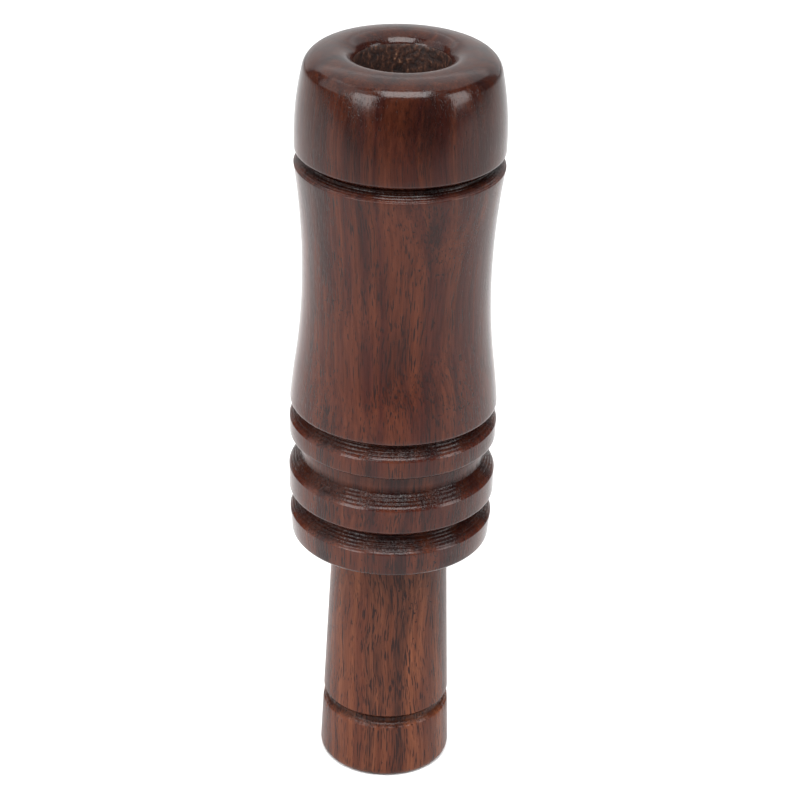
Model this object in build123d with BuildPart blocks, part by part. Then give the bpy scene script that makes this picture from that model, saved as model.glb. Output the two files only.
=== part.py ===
"""A turned wooden duck call, in millimetres.

The call stands on the exhaust end of its insert. +Z runs up the common axis of the insert and the
barrel, the origin is the centre of the insert's base, and the reeds face -Y.

Pieces, from the base up: the insert with its tenon, two O-rings on the tenon, the moulded tone board
pressed into the insert, two reeds held on it by a cork wedge, and the barrel that slips over them all.
Each reed is one strip of film. It is written as a clamped root and a free tongue, so that it can swing.
"""
from build123d import *
import os
from math import radians, sqrt, tan

# --- Barrel, outside: heights are stacked from its lower end up, depths are cut from the blank ---
blank_radius = 17.9
foot_ring_height = 4.4
foot_groove_width = 4.5
middle_ring_height = 4.2
lanyard_groove_width = 6.1
upper_ring_height = 3.4
upper_groove_width = 3.3
waist_length = 43.6
neck_groove_width = 2.7
head_length = 16.7

foot_ring_relief = 0.25
foot_ring_taper = 0.35
foot_groove_depth = 2.3
lanyard_groove_depth = 2.0
upper_groove_depth = 1.9
groove_cone_height = 2.5
waist_depth = 1.86
waist_narrowest_height = 22.9
belly_height = 8.2
belly_depth = 0.9
waist_top_relief = 0.3
neck_groove_depth = 2.1
head_relief = 0.3
head_cheek_height = 2.4
crown_inset = 1.21
crown_drop = 3.0
shoulder_inset = 3.46
shoulder_drop = 0.51
ring_heel_fillet = 0.7
ring_lip_fillet = 0.15

# --- Barrel, inside ---
bore_radius = 8.0
mouth_roll_width = 2.9
mouth_roll_depth = 1.8

# --- Insert ---
stem_length = 46.0
stem_base_radius = 11.7
stem_top_radius = 10.05
stem_base_fillet = 1.3
stem_groove_height = 10.5
stem_groove_width = 2.6
stem_groove_depth = 0.9
flare_radius = 7.5
flare_length = 24.0
tenon_length = 20.0
tenon_chamfer = 0.6
seat_gap = 0.1
tenon_clearance = 0.2

# --- O-rings and their grooves in the tenon ---
o_ring_section = 1.5
o_ring_fit = 0.03
o_ring_first_height = 5.0
o_ring_pitch = 8.0
o_ring_groove_play = 0.15
tenon_wall = 1.45

# --- Tone board ---
spigot_length = 14.0
spigot_wall = 1.5
glue_gap = 0.02
exhaust_ledge = 0.8
plug_length = 11.0
board_length = 40.0
board_clearance = 1.1
face_offset = 0.6
ramp_angle = 1.2
tip_drop = 1.5
tip_fillet = 2.2
channel_root_inset = 0.6
channel_tip_radius = 1.6
channel_tip_margin = 4.0
slot_depth = 9.0

# --- Reeds and wedge ---
reed_thickness = 0.25
reed_margin = 1.05
reed_seat_gap = 0.02
reed_tip_setback = 1.2
reed_tip_clip = 1.6
short_reed_setback = 7.0
fold_gap = 0.05
slot_side_play = 0.1
wedge_inset = 0.9
wedge_thickness = 3.1
wedge_proud = 1.5
wedge_taper = 0.5
wedge_roof_play = 0.05

os.makedirs("parts", exist_ok=True)

# Heights along the axis, from the base of the insert up.
barrel_base = stem_length + seat_gap
foot_ring_top = barrel_base + foot_ring_height
middle_ring_base = foot_ring_top + foot_groove_width
middle_ring_top = middle_ring_base + middle_ring_height
upper_ring_base = middle_ring_top + lanyard_groove_width
upper_ring_top = upper_ring_base + upper_ring_height
waist_base = upper_ring_top + upper_groove_width
waist_narrowest = waist_base + waist_narrowest_height
waist_top = waist_base + waist_length
head_base = waist_top + neck_groove_width
barrel_top = head_base + head_length
tenon_top = stem_length + tenon_length
spigot_base = tenon_top - spigot_length
plug_top = tenon_top + plug_length
board_tip = plug_top + board_length
slot_base = plug_top - slot_depth
fold_line = plug_top + wedge_proud

# Radii that follow from what fits inside what.
tenon_radius = bore_radius - tenon_clearance
o_ring_outer_radius = bore_radius - o_ring_fit
o_ring_centre_radius = o_ring_outer_radius - o_ring_section / 2
o_ring_groove_radius = o_ring_outer_radius - o_ring_section - o_ring_fit
socket_radius = o_ring_groove_radius - tenon_wall
spigot_radius = socket_radius - glue_gap
sound_bore_radius = spigot_radius - spigot_wall
exhaust_radius = socket_radius - exhaust_ledge
plug_radius = bore_radius - board_clearance
channel_root_radius = sound_bore_radius - channel_root_inset
o_ring_heights = [stem_length + o_ring_first_height + n * o_ring_pitch for n in range(2)]


def save(piece, name):
    """Labels one finished piece and writes it as a STEP file of that name."""
    piece.part.label = name
    export_step(piece.part, f"parts/{name}.step")


def rims(piece, height, smallest_radius):
    """The circular edges of a turned piece that lie at a height and are at least that large."""
    level = piece.edges().filter_by(GeomType.CIRCLE).filter_by_position(Axis.Z, height - 0.01, height + 0.01)
    return level.filter_by(lambda edge: edge.radius > smallest_radius)


# --- Barrel: one turning, bored through, with a rounded head, a waist and three rings at its foot ---
foot_radius = blank_radius - foot_ring_relief
lanyard_floor_radius = blank_radius - lanyard_groove_depth
waist_radius = blank_radius - waist_depth
belly_radius = blank_radius - belly_depth
waist_top_radius = blank_radius - waist_top_relief
head_radius = blank_radius - head_relief
mouth_crest_radius = bore_radius + mouth_roll_width

with BuildPart() as barrel:
    with BuildSketch(Plane.XZ):
        with BuildLine():
            foot = Polyline(
                (0, barrel_base), (foot_radius - foot_ring_taper, barrel_base), (foot_radius, foot_ring_top)
            )
            foot_groove_wall = Line(
                foot @ 1, (foot_radius - foot_groove_depth, foot_ring_top + groove_cone_height)
            )
            middle_ring = Polyline(
                foot_groove_wall @ 1,
                (blank_radius, middle_ring_base),
                (blank_radius, middle_ring_top),
                (lanyard_floor_radius, middle_ring_top + groove_cone_height),
                (lanyard_floor_radius, upper_ring_base),
                (blank_radius, upper_ring_base),
                (blank_radius, upper_ring_top),
            )
            upper_groove = Polyline(
                middle_ring @ 1,
                (blank_radius - upper_groove_depth, waist_base - upper_groove_width / 3),
                (blank_radius, waist_base),
            )
            waist_lower = TangentArc(
                (waist_radius, waist_narrowest), (belly_radius, waist_base + belly_height), tangent=(0, -1)
            )
            TangentArc(waist_lower @ 1, upper_groove @ 1, tangent=waist_lower % 1)
            waist_upper = TangentArc(waist_lower @ 0, (waist_top_radius, waist_top), tangent=(0, 1))
            cheek = Polyline(
                waist_upper @ 1,
                (waist_top_radius - neck_groove_depth, waist_top + neck_groove_width / 2),
                (head_radius, head_base),
                (head_radius, head_base + head_cheek_height),
            )
            crown = TangentArc(
                cheek @ 1, (head_radius - crown_inset, barrel_top - crown_drop), tangent=(0, 1)
            )
            shoulder = TangentArc(
                crown @ 1, (head_radius - shoulder_inset, barrel_top - shoulder_drop), tangent=crown % 1
            )
            dome = TangentArc(shoulder @ 1, (mouth_crest_radius, barrel_top), tangent=shoulder % 1)
            Polyline(dome @ 1, (0, barrel_top), (0, barrel_base))
        make_face()
    revolve(axis=Axis.Z)
    for heel in (barrel_base, middle_ring_base, upper_ring_base, waist_base, head_base):
        fillet(rims(barrel, heel, waist_radius), ring_heel_fillet)
    for lip in (foot_ring_top, middle_ring_top, upper_ring_top, waist_top):
        fillet(rims(barrel, lip, waist_radius), ring_lip_fillet)
    with BuildSketch(Plane.XZ):
        with BuildLine():
            roll = TangentArc(
                (mouth_crest_radius, barrel_top), (bore_radius, barrel_top - mouth_roll_depth), tangent=(-1, 0)
            )
            Polyline(roll @ 1, (bore_radius, barrel_base), (0, barrel_base), (0, barrel_top), roll @ 0)
        make_face()
    revolve(axis=Axis.Z, mode=Mode.SUBTRACT)
save(barrel, "barrel")

# --- Insert: one turning, a tapered stem with a groove, a shoulder and a tenon, drilled and flared ---
stem_taper = (stem_base_radius - stem_top_radius) / stem_length
stem_groove_top = stem_groove_height + stem_groove_width
stem_groove_low_radius = stem_base_radius - stem_taper * stem_groove_height
stem_groove_high_radius = stem_base_radius - stem_taper * stem_groove_top
stem_groove_floor = stem_groove_high_radius - stem_groove_depth

with BuildPart() as insert:
    with BuildSketch(Plane.XZ):
        with BuildLine():
            foot = Polyline((0, 0), (stem_base_radius, 0), (stem_groove_low_radius, stem_groove_height))
            groove = ThreePointArc(
                foot @ 1,
                (stem_groove_floor, stem_groove_height + stem_groove_width / 2),
                (stem_groove_high_radius, stem_groove_top),
            )
            Polyline(
                groove @ 1,
                (stem_top_radius, stem_length),
                (tenon_radius, stem_length),
                (tenon_radius, tenon_top),
                (0, tenon_top),
                (0, 0),
            )
        make_face()
    revolve(axis=Axis.Z)
    fillet(rims(insert, 0, flare_radius), stem_base_fillet)
    chamfer(rims(insert, tenon_top, socket_radius), tenon_chamfer)
    for height in o_ring_heights:
        with BuildSketch(Plane.XY.offset(height - o_ring_section / 2 - o_ring_groove_play)):
            Circle(tenon_radius)
            Circle(o_ring_groove_radius, mode=Mode.SUBTRACT)
        extrude(amount=o_ring_section + 2 * o_ring_groove_play, mode=Mode.SUBTRACT)
    with BuildSketch(Plane.XZ):
        with BuildLine():
            bell = TangentArc((exhaust_radius, flare_length), (flare_radius, 0), tangent=(0, -1))
            Polyline(
                bell @ 1,
                (0, 0),
                (0, tenon_top),
                (socket_radius, tenon_top),
                (socket_radius, spigot_base),
                (exhaust_radius, spigot_base),
                bell @ 0,
            )
        make_face()
    revolve(axis=Axis.Z, mode=Mode.SUBTRACT)
save(insert, "insert")

# --- O-rings: drawn at the thickness that the bore squeezes them to ---
for height, name in zip(o_ring_heights, ("o_ring_lower", "o_ring_upper")):
    with BuildPart() as o_ring:
        with BuildSketch(Plane.XZ):
            with Locations((o_ring_centre_radius, height)):
                Circle(o_ring_section / 2)
        revolve(axis=Axis.Z)
    save(o_ring, name)

# --- Tone board: a moulded spigot, a round plug with the wedge slot, and the half-round board ---
face_half_width = sqrt(plug_radius**2 - face_offset**2)
reed_half_width = face_half_width - reed_margin
wedge_half_width = reed_half_width - wedge_inset
reeds_height = 2 * (reed_seat_gap + reed_thickness)
slot_height = reeds_height + wedge_thickness + wedge_roof_play

with BuildPart() as tone_board:
    with BuildSketch(Plane.XY.offset(spigot_base)):
        Circle(spigot_radius)
    extrude(amount=spigot_length)
    with BuildSketch(Plane.XY.offset(tenon_top)):
        Circle(plug_radius)
    extrude(amount=plug_length + board_length)
    # The face that the reed closes on: level to the fold line, then ramped and curved away to the tip.
    with BuildSketch(Plane.YZ):
        with BuildLine():
            face = Polyline((-plug_radius, plug_top), (face_offset, plug_top), (face_offset, fold_line))
            ramp = TangentArc(
                face @ 1, (face_offset + tip_drop, board_tip), tangent=(tan(radians(ramp_angle)), 1)
            )
            Polyline(ramp @ 1, (-plug_radius, board_tip), (-plug_radius, plug_top))
        make_face()
    extrude(amount=plug_radius, both=True, mode=Mode.SUBTRACT)
    tip_edges = tone_board.edges().group_by(Axis.Z)[-1].filter_by(GeomType.CIRCLE)
    fillet(tip_edges, tip_fillet)
    # The slot is as wide as the reeds at its floor, and as wide as the wedge above them.
    with BuildSketch(Plane.XY.offset(plug_top)):
        with Locations((0, face_offset - reeds_height / 2)):
            Rectangle(2 * (reed_half_width + slot_side_play), reeds_height)
        with Locations((0, face_offset - slot_height / 2)):
            Rectangle(2 * (wedge_half_width + slot_side_play), slot_height)
    extrude(amount=-slot_depth, mode=Mode.SUBTRACT)
    # The sound channel: half a cone sunk in the face, open into the bore that runs down the spigot.
    with BuildSketch(Plane.XY.offset(spigot_base)):
        Circle(sound_bore_radius)
    extrude(amount=slot_base - spigot_base, mode=Mode.SUBTRACT)
    with BuildSketch(Plane((0, face_offset, slot_base))):
        Circle(channel_root_radius)
    with BuildSketch(Plane((0, face_offset, board_tip - channel_tip_margin))):
        Circle(channel_tip_radius)
    loft(mode=Mode.SUBTRACT)
save(tone_board, "tone_board")

# --- Reeds: the long one lies on the board and the short one on top of it ---
long_reed_tip = board_tip - reed_tip_setback
reed_tips = {"long_reed": long_reed_tip, "short_reed": long_reed_tip - short_reed_setback}

for layer, (reed_name, tip) in enumerate(reed_tips.items()):
    back = face_offset - reed_seat_gap - layer * (reed_seat_gap + reed_thickness)
    with BuildPart() as root:
        with BuildSketch(Plane.XZ.offset(-back)):
            with Locations((0, (slot_base + fold_line) / 2)):
                Rectangle(2 * reed_half_width, fold_line - slot_base)
        extrude(amount=reed_thickness)
    save(root, f"{reed_name}_root")

    tongue_base = fold_line + fold_gap
    with BuildPart() as tongue:
        with BuildSketch(Plane.XZ.offset(-back)):
            with BuildLine():
                Polyline(
                    (-reed_half_width, tongue_base),
                    (reed_half_width, tongue_base),
                    (reed_half_width, tip - reed_tip_clip),
                    (reed_half_width - reed_tip_clip, tip),
                    (reed_tip_clip - reed_half_width, tip),
                    (-reed_half_width, tip - reed_tip_clip),
                    close=True,
                )
            make_face()
        extrude(amount=reed_thickness)
    save(tongue, f"{reed_name}_tongue")

# --- Wedge: a cork strip pressed in over the reeds, with its top sloped down to the front ---
wedge_back = face_offset - reeds_height
with BuildPart() as wedge:
    with BuildSketch(Plane.YZ):
        with BuildLine():
            Polyline(
                (wedge_back, slot_base),
                (wedge_back, fold_line),
                (wedge_back - wedge_thickness + wedge_taper, fold_line),
                (wedge_back - wedge_thickness, plug_top),
                (wedge_back - wedge_thickness, slot_base),
                close=True,
            )
        make_face()
    extrude(amount=wedge_half_width, both=True)
save(wedge, "wedge")
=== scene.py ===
"""A turned walnut duck call: insert, O-rings, tone board, reeds and wedge, and the barrel over them."""
from math import atan2, cos, hypot, pi, radians, sin, tan

import bpy
from mathutils import Matrix, Vector


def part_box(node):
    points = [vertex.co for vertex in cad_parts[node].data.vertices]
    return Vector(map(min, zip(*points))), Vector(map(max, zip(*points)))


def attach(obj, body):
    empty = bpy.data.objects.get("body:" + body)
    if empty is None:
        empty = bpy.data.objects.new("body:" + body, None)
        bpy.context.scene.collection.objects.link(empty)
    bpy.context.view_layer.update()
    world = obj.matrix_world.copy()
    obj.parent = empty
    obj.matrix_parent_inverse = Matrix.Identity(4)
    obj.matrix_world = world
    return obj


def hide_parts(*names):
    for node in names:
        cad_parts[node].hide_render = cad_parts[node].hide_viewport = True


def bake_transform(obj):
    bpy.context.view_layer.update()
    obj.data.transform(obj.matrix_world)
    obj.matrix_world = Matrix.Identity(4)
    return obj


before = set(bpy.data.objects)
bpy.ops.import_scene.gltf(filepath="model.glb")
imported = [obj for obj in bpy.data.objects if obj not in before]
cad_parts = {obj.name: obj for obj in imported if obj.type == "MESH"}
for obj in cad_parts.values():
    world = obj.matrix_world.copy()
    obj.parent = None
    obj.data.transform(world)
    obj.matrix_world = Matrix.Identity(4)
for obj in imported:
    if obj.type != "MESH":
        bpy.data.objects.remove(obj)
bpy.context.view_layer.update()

# --- Insert ---------------------------------------------------------------------------------------
# The insert is turned from walnut with its grain along the axis, drilled from end to end, and sealed
# with a satin lacquer. One groove is cut near its foot, and the wood broke out a little along that
# groove's lower edge.


def bent(start, end, heading, steps):
    """The arc that leaves start with this heading and reaches end: its points, and its last heading."""
    start, end, heading = Vector(start), Vector(end), Vector(heading).normalized()
    chord = end - start
    side = Vector((-heading.y, heading.x))
    sweep = 2 * atan2(chord.dot(side), chord.dot(heading))
    centre = start + side * chord.length_squared / (2 * chord.dot(side))
    points = []
    for step in range(1, steps + 1):
        angle = sweep * step / steps
        spoke = start - centre
        points.append((centre.x + spoke.x * cos(angle) - spoke.y * sin(angle),
                       centre.y + spoke.x * sin(angle) + spoke.y * cos(angle)))
    last_heading = (heading.x * cos(sweep) - heading.y * sin(sweep),
                    heading.x * sin(sweep) + heading.y * cos(sweep))
    return points, last_heading


def tooled(start, end, pitch, depth):
    """The fine rings that a tool's point leaves on a wall cut in one pass, between start and end."""
    start, end = Vector(start), Vector(end)
    run = end - start
    out = Vector((run.y, -run.x)).normalized()
    count = 2 * round(run.length / pitch)
    return [(*(start + run * i / count + out * depth * (0.5 + 0.5 * sin(i * i)) * (i % 2 - 0.5)), 0)
            for i in range(1, count)]


def softened(corners, pitch, steps=4):
    """A closed outline from corners of (radius, height, rounding): rounds them, and fills straight runs."""
    soft = []
    for before, corner, after in zip(corners[-1:] + corners[:-1], corners, corners[1:] + corners[:1]):
        here = Vector(corner[:2])
        if not corner[2]:
            soft.append(here)
            continue
        back = (Vector(before[:2]) - here).normalized()
        on = (Vector(after[:2]) - here).normalized()
        half = back.angle(on) / 2
        centre = here + (back + on).normalized() * corner[2] / sin(half)
        first = here + back * corner[2] / tan(half) - centre
        last = here + on * corner[2] / tan(half) - centre
        soft += [centre + first.slerp(last, step / steps).normalized() * corner[2]
                 for step in range(steps + 1)]
    filled = []
    for here, after in zip(soft, soft[1:] + soft[:1]):
        count = max(1, round((after - here).length / pitch))
        filled += [here.lerp(after, i / count) for i in range(count)]
    return filled


def turned(name, outline, steps):
    """Spins a closed outline, in mm, once round the axis, as a lathe does."""
    bpy.ops.object.select_all(action="DESELECT")
    drawn = bpy.data.curves.new(name, "CURVE")
    drawn.dimensions = "3D"
    line = drawn.splines.new("POLY")
    line.points.add(len(outline) - 1)
    for point, corner in zip(line.points, outline):
        point.co = (corner.x / 1000, 0, corner.y / 1000, 1)
    line.use_cyclic_u = True
    piece = bpy.data.objects.new(name, drawn)
    bpy.context.scene.collection.objects.link(piece)
    piece.select_set(True)
    bpy.context.view_layer.objects.active = piece
    bpy.ops.object.convert(target="MESH")
    piece = bpy.context.object
    lathe = piece.modifiers.new("lathe", "SCREW")
    lathe.angle = 2 * pi
    lathe.steps = steps
    lathe.render_steps = steps
    bpy.ops.object.modifier_apply(modifier=lathe.name)
    bpy.ops.object.mode_set(mode="EDIT")
    bpy.ops.mesh.select_all(action="SELECT")
    bpy.ops.mesh.remove_doubles(threshold=0.000002)
    bpy.ops.mesh.normals_make_consistent(inside=False)
    bpy.ops.object.mode_set(mode="OBJECT")
    bpy.ops.object.shade_smooth()
    return piece


def broken_out(piece, name, bands, grit, depth):
    """Tears the surface inside bands of (lowest height, highest height, least radius), all in mm."""
    torn = piece.vertex_groups.new(name=name)
    for vertex in piece.data.vertices:
        radius = hypot(vertex.co.x, vertex.co.y) * 1000
        for low, high, least in bands:
            if low < vertex.co.z * 1000 < high and radius > least:
                middle = (low + high) / 2
                off_middle = abs(vertex.co.z * 1000 - middle) / (middle - low)
                torn.add([vertex.index], 1 - off_middle ** 3, "REPLACE")
    noise = bpy.data.textures.new(name, "CLOUDS")
    noise.noise_scale = grit / 1000
    noise.contrast = 2
    tear = piece.modifiers.new(name, "DISPLACE")
    tear.texture = noise
    tear.vertex_group = torn.name
    tear.mid_level = 1
    tear.strength = depth / 1000
    bpy.context.view_layer.objects.active = piece
    bpy.ops.object.modifier_apply(modifier=tear.name)


shelter_depth = 0.6


def sheltered(piece, hollows):
    """Notes on each point how deep it lies in a hollow.

    A hollow is its lowest height, highest height and rim radius, in mm, and how dark its depth is, to 1:
    that sets the painted shade there."""
    shelter = piece.data.attributes.new("shelter", "FLOAT", "POINT")
    for vertex, mark in zip(piece.data.vertices, shelter.data):
        radius = hypot(vertex.co.x, vertex.co.y) * 1000
        for low, high, rim, darkness in hollows:
            if low < vertex.co.z * 1000 < high:
                mark.value = darkness * min(1, max(0, (rim - radius) / shelter_depth))


def shade(code):
    """Linear RGBA of an sRGB hex colour."""
    levels = [int(code[i:i + 2], 16) / 255 for i in (0, 2, 4)]
    return [v / 12.92 if v <= 0.04045 else ((v + 0.055) / 1.055) ** 2.4 for v in levels] + [1]


def add(material, kind, settings, inputs):
    """Adds a node, with its own settings, and with inputs that are values or other nodes' outputs."""
    made = material.node_tree.nodes.new(kind)
    for name, value in settings.items():
        setattr(made, name, value)
    for name, value in inputs.items():
        if isinstance(value, bpy.types.NodeSocket):
            material.node_tree.links.new(value, made.inputs[name])
        else:
            made.inputs[name].default_value = value
    return made


def stops(ramp, *marks):
    """Sets a colour ramp's stops from pairs of place and hex colour, and returns its colour."""
    band = ramp.color_ramp
    while len(band.elements) < len(marks):
        band.elements.new(0.5)
    for element, (place, code) in zip(band.elements, marks):
        element.position = place
        element.color = shade(code)
    return ramp.outputs["Color"]


def lacquered_walnut(name, heart, sap, vein, offset, lean, film, gloss, dark_foot, dark_top, darkness):
    """Walnut along the grain, under satin lacquer: broad figure, fibres, dark veins and open pores.

    Its colour is full at the height dark_foot and multiplied by darkness at dark_top, both in mm, as
    painted shade, and in a hollow it is darker by painted shade. film is the share of it that the lacquer
    covers, gloss is the lacquer's roughness, and lean turns the grain by some degrees from the axis."""
    wood = bpy.data.materials.new(name)
    wood.use_nodes = True
    surface = wood.node_tree.nodes["Principled BSDF"]
    place = add(wood, "ShaderNodeTexCoord", {}, {}).outputs["Object"]
    millimetres = add(wood, "ShaderNodeMapping", {}, {
        "Vector": place, "Location": offset, "Rotation": (radians(lean), radians(lean), 0),
        "Scale": (1000, 1000, 1000)}).outputs["Vector"]

    # The fibres wander a millimetre or two from a straight line, over lengths of about 25 mm.
    wander = add(wood, "ShaderNodeTexNoise", {}, {"Vector": millimetres, "Scale": 1 / 25, "Detail": 1})
    centred = add(wood, "ShaderNodeVectorMath", {"operation": "SUBTRACT"}, {
        0: wander.outputs["Color"], 1: (0.5, 0.5, 0.5)})
    drift = add(wood, "ShaderNodeVectorMath", {"operation": "MULTIPLY"}, {
        0: centred.outputs[0], 1: (5, 5, 0)})
    fibre = add(wood, "ShaderNodeVectorMath", {"operation": "ADD"}, {
        0: millimetres, 1: drift.outputs[0]}).outputs[0]

    def along_grain(width, length, detail, rough=0.5):
        """Noise in streaks of this width across the grain and this length along it, in mm."""
        squeezed = add(wood, "ShaderNodeVectorMath", {"operation": "MULTIPLY"}, {
            0: fibre, 1: (1 / width, 1 / width, 1 / length)})
        return add(wood, "ShaderNodeTexNoise", {}, {
            "Vector": squeezed.outputs[0], "Scale": 1, "Detail": detail, "Roughness": rough}).outputs["Fac"]

    figure = stops(add(wood, "ShaderNodeValToRGB", {}, {"Fac": along_grain(6, 150, 2)}),
                   (0.34, heart), (0.47, sap), (0.55, heart), (0.68, sap))
    veins = along_grain(4.5, 75, 4, 0.55)
    vein_mask = stops(add(wood, "ShaderNodeValToRGB", {}, {"Fac": veins}),
                      (0.51, "000000"), (0.66, "e0e0e0"))
    veined = add(wood, "ShaderNodeMixRGB", {}, {"Fac": vein_mask, "Color1": figure, "Color2": shade(vein)})
    fine = stops(add(wood, "ShaderNodeValToRGB", {}, {"Fac": along_grain(0.5, 30, 5, 0.7)}),
                 (0.3, "b4a6a4"), (0.68, "ffffff"))
    fibres = add(wood, "ShaderNodeMixRGB", {"blend_type": "MULTIPLY"}, {
        "Fac": 1.0, "Color1": veined.outputs[0], "Color2": fine})

    # Open pores: dark dashes about 0.2 mm wide and 3.5 mm long, crowded in the veins and rare elsewhere,
    # with a few checks 18 mm long, and pits where the grain was short and tore.
    dash = add(wood, "ShaderNodeMath", {"operation": "MULTIPLY_ADD"}, {
        0: veins, 1: 0.4, 2: along_grain(0.21, 3.5, 1)})
    pores = stops(add(wood, "ShaderNodeValToRGB", {}, {"Fac": dash.outputs[0]}),
                  (0.79, "000000"), (0.85, "ffffff"))
    checks = stops(add(wood, "ShaderNodeValToRGB", {}, {"Fac": along_grain(0.7, 18, 2)}),
                   (0.685, "000000"), (0.73, "ffffff"))
    long_pores = add(wood, "ShaderNodeMath", {"operation": "MAXIMUM"}, {0: pores, 1: checks})
    short_grain = add(wood, "ShaderNodeTexNoise", {}, {"Vector": millimetres, "Scale": 1 / 14, "Detail": 1})
    dots = add(wood, "ShaderNodeTexNoise", {}, {"Vector": millimetres, "Scale": 1 / 0.6, "Detail": 1})
    dotted = add(wood, "ShaderNodeMath", {"operation": "MULTIPLY_ADD"}, {
        0: short_grain.outputs["Fac"], 1: 0.9, 2: dots.outputs["Fac"]})
    pits = add(wood, "ShaderNodeMapRange", {}, {
        "Value": dotted.outputs[0], "From Min": 1.25, "From Max": 1.3})
    hollows = add(wood, "ShaderNodeMath", {"operation": "MAXIMUM"}, {
        0: long_pores.outputs[0], 1: pits.outputs[0]})

    # Towards dark_top the colour is darkened as painted shade, and more coats of lacquer have partly filled
    # the pores. The edge of that darker part wanders up and down by up to 15 mm.
    wandering = 0.015
    height = add(wood, "ShaderNodeSeparateXYZ", {}, {"Vector": place}).outputs["Z"]
    patch = add(wood, "ShaderNodeMath", {"operation": "MULTIPLY_ADD"}, {
        0: along_grain(7, 14, 2), 1: 2 * wandering, 2: height})
    deep = add(wood, "ShaderNodeMapRange", {}, {
        "Value": patch.outputs[0], "To Min": 1.0, "To Max": darkness,
        "From Min": dark_foot / 1000 + wandering, "From Max": dark_top / 1000 + wandering})
    open_grain = add(wood, "ShaderNodeMath", {"operation": "MULTIPLY"}, {
        0: hollows.outputs[0], 1: deep.outputs[0]})
    toned = add(wood, "ShaderNodeMixRGB", {}, {
        "Fac": open_grain.outputs[0], "Color1": fibres.outputs[0], "Color2": shade("1e0f0d")})

    # In a sheltered hollow the colour is darkened as painted shade, the lacquer is thin and broken, and the
    # wood is torn in patches about 14 mm across; between them the tool left the wall smooth.
    shelter = add(wood, "ShaderNodeAttribute", {"attribute_name": "shelter"}, {}).outputs["Fac"]
    tears = add(wood, "ShaderNodeTexNoise", {}, {"Vector": millimetres, "Scale": 1 / 0.4, "Detail": 3})
    torn = tears.outputs["Fac"]
    ragged = add(wood, "ShaderNodeMapRange", {}, {
        "Value": short_grain.outputs["Fac"], "From Min": 0.45, "From Max": 0.57, "To Min": 0.12})
    # Painted shade darkens the colour in a hollow, the deeper the darker.
    painted_groove_shade = add(wood, "ShaderNodeMapRange", {}, {"Value": shelter, "To Min": 1.0, "To Max": 0.27})
    light = add(wood, "ShaderNodeMath", {"operation": "MULTIPLY"}, {
        0: deep.outputs[0], 1: painted_groove_shade.outputs[0]})
    glints = add(wood, "ShaderNodeMapRange", {}, {
        "Value": torn, "From Min": 0.42, "From Max": 0.66, "To Min": 0.3, "To Max": 0.8})
    bare = add(wood, "ShaderNodeMapRange", {}, {
        "Value": shelter, "From Max": 0.7, "To Min": film, "To Max": glints.outputs[0]})
    wood.node_tree.links.new(bare.outputs[0], surface.inputs["Coat Weight"])
    # The base colour carries the painted shade of the head and of the hollows.
    shaded_colour = add(wood, "ShaderNodeVectorMath", {"operation": "SCALE"}, {
        0: toned.outputs[0], "Scale": light.outputs[0]})
    wood.node_tree.links.new(shaded_colour.outputs[0], surface.inputs["Base Color"])

    # The relief is the sunk pores, the fibres, and in a cut groove the torn fibres. The lacquer over it
    # also follows the rings that the point of the tool left in the groove, 0.45 mm apart.
    ring_spacing = 0.45
    rag_height = 9.0
    ring_height = 2.0
    shreds = add(wood, "ShaderNodeMath", {"operation": "MULTIPLY"}, {0: torn, 1: ragged.outputs[0]})
    rags = add(wood, "ShaderNodeMath", {"operation": "MULTIPLY"}, {0: shreds.outputs[0], 1: shelter})
    raised = add(wood, "ShaderNodeMath", {"operation": "MULTIPLY_ADD"}, {
        0: rags.outputs[0], 1: rag_height, 2: along_grain(0.4, 20, 3)})
    relief = add(wood, "ShaderNodeMath", {"operation": "SUBTRACT"}, {
        0: raised.outputs[0], 1: open_grain.outputs[0]})
    grain = add(wood, "ShaderNodeBump", {}, {
        "Height": relief.outputs[0], "Strength": 0.6, "Distance": 0.00008})
    wood.node_tree.links.new(grain.outputs[0], surface.inputs["Normal"])
    across = add(wood, "ShaderNodeVectorMath", {"operation": "MULTIPLY"}, {0: place, 1: (1000, 1000, 0)})
    radius = add(wood, "ShaderNodeVectorMath", {"operation": "LENGTH"}, {0: across.outputs[0]})
    pass_of_tool = add(wood, "ShaderNodeMath", {"operation": "MULTIPLY_ADD"}, {
        0: radius.outputs["Value"], 1: 2 * pi / ring_spacing, 2: torn})
    ring = add(wood, "ShaderNodeMath", {"operation": "SINE"}, {0: pass_of_tool.outputs[0]})
    rings = add(wood, "ShaderNodeMath", {"operation": "MULTIPLY"}, {0: ring.outputs[0], 1: shelter})
    ringed = add(wood, "ShaderNodeMath", {"operation": "MULTIPLY_ADD"}, {
        0: rings.outputs[0], 1: ring_height, 2: relief.outputs[0]})
    lacquer = add(wood, "ShaderNodeBump", {}, {
        "Height": ringed.outputs[0], "Strength": 0.35, "Distance": 0.00005})
    wood.node_tree.links.new(lacquer.outputs[0], surface.inputs["Coat Normal"])
    surface.inputs["Roughness"].default_value = 0.5
    surface.inputs["Specular IOR Level"].default_value = 0.0
    surface.inputs["Coat Roughness"].default_value = gloss
    surface.inputs["Coat IOR"].default_value = 1.28
    return wood


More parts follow.
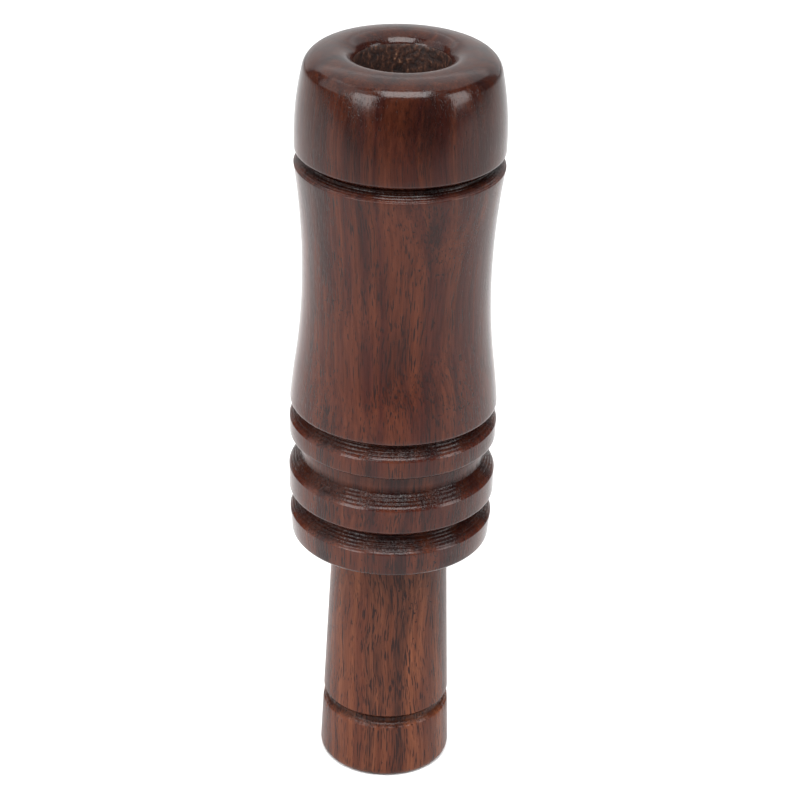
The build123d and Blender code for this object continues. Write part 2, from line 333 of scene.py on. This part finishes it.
def bored_walnut(name, offset):
    """The wall of a drilled bore: fibres torn by the bit, dark and dull, with pale dust in the pores."""
    wood = bpy.data.materials.new(name)
    wood.use_nodes = True
    surface = wood.node_tree.nodes["Principled BSDF"]
    place = add(wood, "ShaderNodeTexCoord", {}, {}).outputs["Object"]
    millimetres = add(wood, "ShaderNodeMapping", {}, {
        "Vector": place, "Location": offset, "Scale": (1000, 1000, 600)}).outputs["Vector"]
    tears = add(wood, "ShaderNodeTexNoise", {}, {"Vector": millimetres, "Scale": 1 / 0.55, "Detail": 5})
    grit = tears.outputs["Fac"]
    tone = stops(add(wood, "ShaderNodeValToRGB", {}, {"Fac": grit}),
                 (0.35, "150b09"), (0.54, "29160f"), (0.66, "452b1f"), (0.74, "7c5d47"))
    wood.node_tree.links.new(tone, surface.inputs["Base Color"])
    rough = add(wood, "ShaderNodeBump", {}, {"Height": grit, "Strength": 0.9, "Distance": 0.0003})
    wood.node_tree.links.new(rough.outputs[0], surface.inputs["Normal"])
    surface.inputs["Roughness"].default_value = 0.55
    surface.inputs["Specular IOR Level"].default_value = 0.35
    return wood


def lined(piece, wood, radius, low, high):
    """Gives the faces inside a bore of this radius, between two heights in mm, a wood of their own."""
    piece.data.materials.append(wood)
    for face in piece.data.polygons:
        if hypot(face.center.x, face.center.y) * 1000 < radius and low < face.center.z * 1000 < high:
            face.material_index = len(piece.data.materials) - 1


insert_foot_radius = 11.7
insert_neck_radius = 10.05
insert_length = 46.0
insert_groove_foot = 10.5
insert_groove_top = 13.1
insert_groove_depth = 0.8
insert_groove_bevels = (1.0, 0.9)
foot_round = 1.3
tool_step = 0.7
insert_facets = 256
insert_wall_slope = (insert_foot_radius - insert_neck_radius) / insert_length
groove_low = (insert_foot_radius - insert_wall_slope * insert_groove_foot, insert_groove_foot)
groove_high = (insert_foot_radius - insert_wall_slope * insert_groove_top, insert_groove_top)
groove_floor = groove_high[0] - insert_groove_depth

tenon_radius = 7.8
tenon_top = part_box("insert")[1][2] * 1000
seal_seat_radius = 6.44
seal_seats = ((50.1, 51.9), (58.1, 59.9))
socket_radius = 4.99
socket_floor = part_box("tone_board")[0][2] * 1000
exhaust_radius = 4.19
flare_radius = 7.5
flare_length = 24

flare, _ = bent((exhaust_radius, flare_length), (flare_radius, 0), (0, -1), 14)
insert_corners = [
    (flare_radius, 0, 0.3),
    (insert_foot_radius, 0, foot_round),
    (*groove_low, 0.2),
    (groove_floor, insert_groove_foot + insert_groove_bevels[0], 0.5),
    (groove_floor, insert_groove_top - insert_groove_bevels[1], 0.5),
    (*groove_high, 0.2),
    (insert_neck_radius, insert_length, 0.15),
    (tenon_radius, insert_length, 0.1),
]
for seat_foot, seat_top in seal_seats:
    insert_corners += [(tenon_radius, seat_foot, 0.08), (seal_seat_radius, seat_foot, 0.1),
                       (seal_seat_radius, seat_top, 0.1), (tenon_radius, seat_top, 0.08)]
insert_corners += [
    (tenon_radius, tenon_top, 0.5),
    (socket_radius, tenon_top, 0.15),
    (socket_radius, socket_floor, 0.05),
    (exhaust_radius, socket_floor, 0.05),
    (exhaust_radius, flare_length, 0),
]
insert_corners += [(*point, 0) for point in flare[:-1]]
insert = turned("turned_insert", softened(insert_corners, tool_step), insert_facets)
broken_out(insert, "chipped groove edge", [(9.9, 11.1, 10.6)], 0.6, 0.16)
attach(insert, "insert")
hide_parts("insert")
# The groove's darkness sets the painted shade in it.
sheltered(insert, [(insert_groove_foot - 0.2, insert_groove_top + 0.2, groove_high[0], 0.8)])
insert.data.materials.append(lacquered_walnut(
    "lacquered walnut, insert", heart="4a261a", sap="603623", vein="391f17", offset=(3, 8, 0), lean=2,
    film=0.65, gloss=0.24, dark_foot=200, dark_top=220, darkness=1))
lined(insert, bored_walnut("bored walnut, insert", (0, 5, 0)), 7.0, 2, tenon_top + 1)

# --- O-rings --------------------------------------------------------------------------------------
# Two moulded nitrile rubber rings, stretched over the tenon into their seats, where they grip the
# barrel's bore. Each shows the fine line where its mould parted, and a bloom that wipes off in places.
nitrile = bpy.data.materials.new("nitrile rubber")
nitrile.use_nodes = True
rubber = nitrile.node_tree.nodes["Principled BSDF"]
place = add(nitrile, "ShaderNodeTexCoord", {}, {}).outputs
bloom = add(nitrile, "ShaderNodeTexNoise", {}, {
    "Vector": place["Object"], "Scale": 400, "Detail": 4}).outputs["Fac"]
rubber_tone = stops(add(nitrile, "ShaderNodeValToRGB", {}, {"Fac": bloom}),
                    (0.4, "131314"), (0.7, "222224"))
nitrile.node_tree.links.new(rubber_tone, rubber.inputs["Base Color"])
rubber_wear = add(nitrile, "ShaderNodeMapRange", {}, {"Value": bloom, "To Min": 0.4, "To Max": 0.7})
nitrile.node_tree.links.new(rubber_wear.outputs[0], rubber.inputs["Roughness"])
round_section = add(nitrile, "ShaderNodeSeparateXYZ", {}, {"Vector": place["UV"]}).outputs["Y"]
from_equator = add(nitrile, "ShaderNodeMath", {"operation": "PINGPONG"}, {0: round_section, 1: 0.25})
flash = stops(add(nitrile, "ShaderNodeValToRGB", {}, {"Fac": from_equator.outputs[0]}),
              (0.008, "ffffff"), (0.016, "000000"))
parting = add(nitrile, "ShaderNodeBump", {}, {"Height": flash, "Distance": 0.00004})
nitrile.node_tree.links.new(parting.outputs[0], rubber.inputs["Normal"])

for name in ("o_ring_lower", "o_ring_upper"):
    low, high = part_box(name)
    section_radius = (high.z - low.z) / 2
    bpy.ops.object.select_all(action="DESELECT")
    bpy.ops.mesh.primitive_torus_add(
        major_radius=high.x - section_radius, minor_radius=section_radius * 0.995,
        major_segments=192, minor_segments=36, location=(0, 0, (low.z + high.z) / 2))
    ring = bpy.context.object
    ring.name = f"moulded_{name}"
    bpy.ops.object.shade_smooth()
    bpy.ops.object.transform_apply()
    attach(ring, "seals")
    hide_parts(name)
    ring.data.materials.append(nitrile)

# --- Tone board -----------------------------------------------------------------------------------
# One moulding in black plastic: a spigot glued into the insert, a round plug with the wedge slot, and a
# half-round board whose face drops away to the tip. Its faces are satin from the mould.


def cleaned(name, node, edge, steps):
    """A merged copy of a CAD node, its flat faces joined again and its edges rounded by edge, in metres."""
    bpy.ops.object.select_all(action="DESELECT")
    piece = bpy.data.objects.new(name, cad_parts[node].data.copy())
    bpy.context.scene.collection.objects.link(piece)
    piece.select_set(True)
    bpy.context.view_layer.objects.active = piece
    bpy.ops.object.mode_set(mode="EDIT")
    bpy.ops.mesh.select_all(action="SELECT")
    bpy.ops.mesh.remove_doubles(threshold=0.000005)
    bpy.ops.mesh.dissolve_limited(angle_limit=radians(0.5))
    bpy.ops.mesh.normals_make_consistent(inside=False)
    bpy.ops.object.mode_set(mode="OBJECT")
    bpy.ops.object.shade_smooth_by_angle(angle=radians(35))
    round_over = piece.modifiers.new("round over", "BEVEL")
    round_over.width = edge
    round_over.segments = steps
    round_over.angle_limit = radians(35)
    round_over.harden_normals = True
    bpy.ops.object.modifier_apply(modifier=round_over.name)
    piece.data.materials.clear()
    return piece


board = cleaned("moulded_tone_board", "tone_board", 0.00015, 3)
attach(board, "insert")
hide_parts("tone_board")
plastic = bpy.data.materials.new("moulded black plastic")
plastic.use_nodes = True
moulded = plastic.node_tree.nodes["Principled BSDF"]
place = add(plastic, "ShaderNodeTexCoord", {}, {}).outputs["Object"]
texture = add(plastic, "ShaderNodeTexNoise", {}, {"Vector": place, "Scale": 4000, "Detail": 2})
flow = add(plastic, "ShaderNodeTexNoise", {}, {"Vector": place, "Scale": 180, "Detail": 3})
sheen = add(plastic, "ShaderNodeMapRange", {}, {
    "Value": flow.outputs["Fac"], "To Min": 0.24, "To Max": 0.46})
plastic.node_tree.links.new(sheen.outputs[0], moulded.inputs["Roughness"])
pebble = add(plastic, "ShaderNodeBump", {}, {
    "Height": texture.outputs["Fac"], "Strength": 0.4, "Distance": 0.00002})
plastic.node_tree.links.new(pebble.outputs[0], moulded.inputs["Normal"])
moulded.inputs["Base Color"].default_value = shade("0f0f10")
moulded.inputs["Specular IOR Level"].default_value = 0.35
board.data.materials.append(plastic)

# --- Reeds ----------------------------------------------------------------------------------------
# Two strips cut from frosted polyester film, 0.25 mm thick, with clipped corners. The short one lies on the
# long one. Their roots are clamped by the wedge.
film = bpy.data.materials.new("frosted polyester film")
film.use_nodes = True
frosted = film.node_tree.nodes["Principled BSDF"]
place = add(film, "ShaderNodeTexCoord", {}, {}).outputs["Object"]
frost = add(film, "ShaderNodeTexNoise", {}, {"Vector": place, "Scale": 9000, "Detail": 2}).outputs["Fac"]
etched = add(film, "ShaderNodeBump", {}, {"Height": frost, "Strength": 0.5, "Distance": 0.00001})
film.node_tree.links.new(etched.outputs[0], frosted.inputs["Normal"])
frosted.inputs["Base Color"].default_value = shade("b4b9b4")
frosted.inputs["Roughness"].default_value = 0.38
frosted.inputs["IOR"].default_value = 1.58
frosted.inputs["Transmission Weight"].default_value = 0.6

corner_clip = 0.0016
for name in ("long_reed", "short_reed"):
    root_low, root_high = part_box(f"{name}_root")
    tongue_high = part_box(f"{name}_tongue")[1]
    width = root_high.x - root_low.x
    length = tongue_high.z - root_low.z
    thickness = root_high.y - root_low.y
    layer = (root_low.y + root_high.y) / 2
    bpy.ops.object.select_all(action="DESELECT")
    bpy.ops.mesh.primitive_grid_add(
        x_subdivisions=12, y_subdivisions=64, size=1, rotation=(pi / 2, 0, 0),
        location=(0, layer, root_low.z + length / 2))
    reed = bpy.context.object
    reed.name = f"cut_{name}"
    reed.scale = (width, length, 1)
    bpy.ops.object.transform_apply()
    bpy.ops.object.mode_set(mode="EDIT")
    for side in (-1, 1):
        bpy.ops.mesh.select_all(action="SELECT")
        bpy.ops.mesh.bisect(
            plane_co=(side * (width / 2 - corner_clip), layer, tongue_high.z),
            plane_no=(side, 0, 1), clear_outer=True)
    bpy.ops.object.mode_set(mode="OBJECT")
    sheet = reed.modifiers.new("film", "SOLIDIFY")
    sheet.thickness = thickness
    sheet.offset = 0
    sheet.use_even_offset = True
    bpy.ops.object.modifier_apply(modifier=sheet.name)
    edge = reed.modifiers.new("scissored edge", "BEVEL")
    edge.width = 0.00003
    edge.segments = 2
    edge.angle_limit = radians(40)
    bpy.ops.object.modifier_apply(modifier=edge.name)
    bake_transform(reed)
    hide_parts(f"{name}_root", f"{name}_tongue")
    reed.data.materials.append(film)

# --- Wedge ----------------------------------------------------------------------------------------
# A strip of cork, cut with a knife and pressed into the slot over the reeds. Granules, pits and the dark
# lenticels of the bark show on its cut faces.
wedge = cleaned("cork_wedge", "wedge", 0.0002, 3)
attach(wedge, "insert")
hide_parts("wedge")
cork = bpy.data.materials.new("cut cork")
cork.use_nodes = True
bark = cork.node_tree.nodes["Principled BSDF"]
place = add(cork, "ShaderNodeTexCoord", {}, {}).outputs["Object"]
cells = add(cork, "ShaderNodeTexVoronoi", {}, {"Vector": place, "Scale": 1100, "Randomness": 1})
granule = add(cork, "ShaderNodeSeparateColor", {}, {"Color": cells.outputs["Color"]}).outputs[0]
cork_tone = stops(add(cork, "ShaderNodeValToRGB", {}, {"Fac": granule}),
                  (0.0, "67472b"), (0.5, "7f5b3a"), (1.0, "957048"))
specks = add(cork, "ShaderNodeTexNoise", {}, {"Vector": place, "Scale": 1500, "Detail": 3}).outputs["Fac"]
pits = stops(add(cork, "ShaderNodeValToRGB", {}, {"Fac": specks}), (0.6, "000000"), (0.68, "ffffff"))
pitted = add(cork, "ShaderNodeMixRGB", {}, {"Fac": pits, "Color1": cork_tone, "Color2": shade("3d2413")})
cork.node_tree.links.new(pitted.outputs[0], bark.inputs["Base Color"])
sunk = add(cork, "ShaderNodeBump", {"invert": True}, {"Height": pits, "Strength": 0.8, "Distance": 0.0002})
cork.node_tree.links.new(sunk.outputs[0], bark.inputs["Normal"])
bark.inputs["Roughness"].default_value = 0.85
bark.inputs["Specular IOR Level"].default_value = 0.25
wedge.data.materials.append(cork)

# --- Barrel ---------------------------------------------------------------------------------------
# The barrel is turned from a darker billet of the same wood and bored through. Its head is rounded over
# into the mouth. The waist and the three rings at its foot are cut from the solid, then lacquered.
barrel_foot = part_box("barrel")[0][2] * 1000
barrel_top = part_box("barrel")[1][2] * 1000
blank_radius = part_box("barrel")[1][0] * 1000
bore_radius = 8.0
foot_ring = (barrel_foot, barrel_foot + 4.4)
middle_ring = (foot_ring[1] + 4.5, foot_ring[1] + 8.7)
upper_ring = (middle_ring[1] + 6.1, middle_ring[1] + 9.5)
waist = (upper_ring[1] + 3.3, upper_ring[1] + 46.9)
head_foot = waist[1] + 2.7
foot_ring_radius = blank_radius - 0.25
foot_ring_heel_radius = foot_ring_radius - 0.35
foot_groove_radius = foot_ring_radius - 2.3
lanyard_groove_radius = blank_radius - 2.0
upper_groove_radius = blank_radius - 1.9
waist_top_radius = blank_radius - 0.3
neck_groove_radius = waist_top_radius - 2.1
head_radius = blank_radius - 0.3
thinnest = (blank_radius - 1.86, waist[0] + 22.9)
belly_start = (blank_radius - 0.9, waist[0] + 8.2)
cheek_top = (head_radius, head_foot + 2.4)
crown_end = (head_radius - 1.21, barrel_top - 3)
shoulder_end = (head_radius - 3.46, barrel_top - 0.51)
mouth_crest = (bore_radius + 2.9, barrel_top)
mouth_roll_end = (bore_radius, barrel_top - 1.8)
below_mouth_roll = barrel_top - 2.5
lining_top = barrel_top - 1.5
cone_height = 2.5
heel = 0.7
lip = 0.15
tool_pitch = 0.6
tool_depth = 0.12
barrel_facets = 288

low_waist, heading = bent(thinnest, belly_start, (0, -1), 14)
belly, _ = bent(low_waist[-1], (blank_radius, waist[0]), heading, 9)
high_waist, _ = bent(thinnest, (waist_top_radius, waist[1]), (0, 1), 22)
crown, heading = bent(cheek_top, crown_end, (0, 1), 14)
shoulder, heading = bent(crown[-1], shoulder_end, heading, 12)
dome, _ = bent(shoulder[-1], mouth_crest, heading, 6)
mouth_roll, _ = bent(dome[-1], mouth_roll_end, (-1, 0), 12)
waist_side = (low_waist + belly)[::-1] + [thinnest] + high_waist

barrel_corners = [
    (bore_radius, barrel_foot, 0.15),
    (foot_ring_heel_radius, barrel_foot, heel),
    (foot_ring_radius, foot_ring[1], lip),
    *tooled((foot_ring_radius - 0.2, foot_ring[1] + 0.22),
            (foot_groove_radius, foot_ring[1] + cone_height), tool_pitch, tool_depth),
    (foot_groove_radius, foot_ring[1] + cone_height, 0.2),
    (blank_radius, middle_ring[0], heel),
    (blank_radius, middle_ring[1], lip),
    *tooled((blank_radius - 0.2, middle_ring[1] + 0.25),
            (lanyard_groove_radius, middle_ring[1] + cone_height), tool_pitch, tool_depth),
    (lanyard_groove_radius, middle_ring[1] + cone_height, 0.2),
    (lanyard_groove_radius, upper_ring[0], 0.15),
    (blank_radius, upper_ring[0], heel),
    (blank_radius, upper_ring[1], lip),
    *tooled((blank_radius - 0.2, upper_ring[1] + 0.23), (upper_groove_radius, waist[0] - 1.1),
            tool_pitch, tool_depth),
    (upper_groove_radius, waist[0] - 1.1, 0.2),
    (*waist_side[0], heel),
    *[(*point, 0) for point in waist_side[1:-1]],
    (*waist_side[-1], lip),
    (neck_groove_radius, waist[1] + 1.35, 0.6),
    (head_radius, head_foot, heel),
    (*cheek_top, 0),
    *[(*point, 0) for point in crown + shoulder + dome + mouth_roll],
    (bore_radius, below_mouth_roll, 0),
]
barrel = turned("turned_barrel", softened(barrel_corners, 1.2), barrel_facets)
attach(barrel, "barrel")
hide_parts("barrel")
# The darkness of each hollow sets the painted shade in it; the neck groove under the head is darkest.
sheltered(barrel, [
    (foot_ring[1], middle_ring[0], foot_ring_radius - 0.1, 0.75),
    (middle_ring[1], middle_ring[1] + cone_height + 0.3, blank_radius - 0.1, 0.75),
    (upper_ring[1], waist[0], blank_radius - 0.1, 0.75),
    (waist[1], head_foot, waist_top_radius - 0.1, 1),
])
# From dark_foot to dark_top the head's colour is darkened as painted shade.
barrel.data.materials.append(lacquered_walnut(
    "lacquered walnut, barrel", heart="361813", sap="492417", vein="211011", offset=(0, 0, 0), lean=1,
    film=1, gloss=0.15, dark_foot=112, dark_top=130, darkness=0.52))
lined(barrel, bored_walnut("bored walnut, barrel", (2, 0, 0)), bore_radius + 0.05, 0, lining_top)

# --- Studio ---------------------------------------------------------------------------------------
# A white table whose colour is darkened towards the camera as painted shade, so that the head reflects it
# dark in front. Two upright soft boxes stand at the sides, with a large card at the left and a backdrop
# behind. A broad panel hangs overhead, and a strip hangs before it.
floor_white = bpy.data.materials.new("white table")
floor_white.use_nodes = True
table = floor_white.node_tree.nodes["Principled BSDF"]
place = add(floor_white, "ShaderNodeTexCoord", {}, {}).outputs["Object"]
depth = add(floor_white, "ShaderNodeSeparateXYZ", {}, {"Vector": place}).outputs["Y"]
nearness = add(floor_white, "ShaderNodeMapRange", {"interpolation_type": "SMOOTHSTEP"}, {
    "Value": depth, "From Min": -0.45, "From Max": -0.03})
# The grey towards the camera is painted shade on the table.
table_with_painted_shade = stops(add(floor_white, "ShaderNodeValToRGB", {}, {"Fac": nearness.outputs[0]}),
                   (0, "585858"), (1, "d6d6d6"))
floor_white.node_tree.links.new(table_with_painted_shade, table.inputs["Base Color"])
table.inputs["Roughness"].default_value = 0.9
bpy.ops.object.select_all(action="DESELECT")
bpy.ops.mesh.primitive_plane_add(size=6, location=(0, 0, 0))
floor = bpy.context.object
floor.name = "floor"
floor.data.materials.append(floor_white)


def softbox(name, turn, rise, distance, width, height, power):
    """A soft light aimed at the call, placed by its angle round from the camera and its height angle."""
    lamp = bpy.data.lights.new(name, "AREA")
    lamp.shape = "RECTANGLE"
    lamp.size = width
    lamp.size_y = height
    lamp.energy = power
    stand = bpy.data.objects.new(name, lamp)
    bpy.context.scene.collection.objects.link(stand)
    turn = radians(turn)
    rise = radians(rise)
    away = Vector((sin(turn) * cos(rise), -cos(turn) * cos(rise), sin(rise)))
    stand.location = Vector((0, 0, 0.09)) + away * distance
    stand.rotation_euler = away.to_track_quat("Z", "Y").to_euler()


softbox("left box", -43, 20, 0.9, 0.38, 0.56, 7.9)
softbox("right box", 68, 18, 0.9, 0.34, 0.56, 5.8)
softbox("left card", -80, 30, 1.1, 1.0, 1.0, 7)
softbox("backdrop", 180, 20, 1.3, 2.6, 1.0, 8.5)
softbox("overhead panel", 180, 68, 1.0, 2.0, 1.2, 14.5)
softbox("front strip", 6, 58, 0.95, 0.72, 0.5, 16.5)

world = bpy.data.worlds.new("studio")
world.use_nodes = True
world.node_tree.nodes["Background"].inputs["Color"].default_value = (1, 1, 1, 1)
world.node_tree.nodes["Background"].inputs["Strength"].default_value = 0.12
bpy.context.scene.world = world
bpy.context.scene.view_settings.view_transform = "Standard"

# The camera looks down on the call from the front, leaning a little, through a long lens.
tilt = radians(27.75)
lean = radians(1.66)
aim = Vector((0, 0, 0.071))
lens = bpy.data.cameras.new("camera")
lens.type = "PERSP"
lens.lens = 117
lens.sensor_width = 36
lens.clip_start = 0.01
camera = bpy.data.objects.new("camera", lens)
bpy.context.scene.collection.objects.link(camera)
turn = Matrix.Rotation(pi / 2 - tilt, 4, "X") @ Matrix.Rotation(lean, 4, "Z")
camera.matrix_world = Matrix.Translation(aim) @ turn @ Matrix.Translation((0.00115, 0.0002, 0.449))
bpy.context.scene.camera = camera
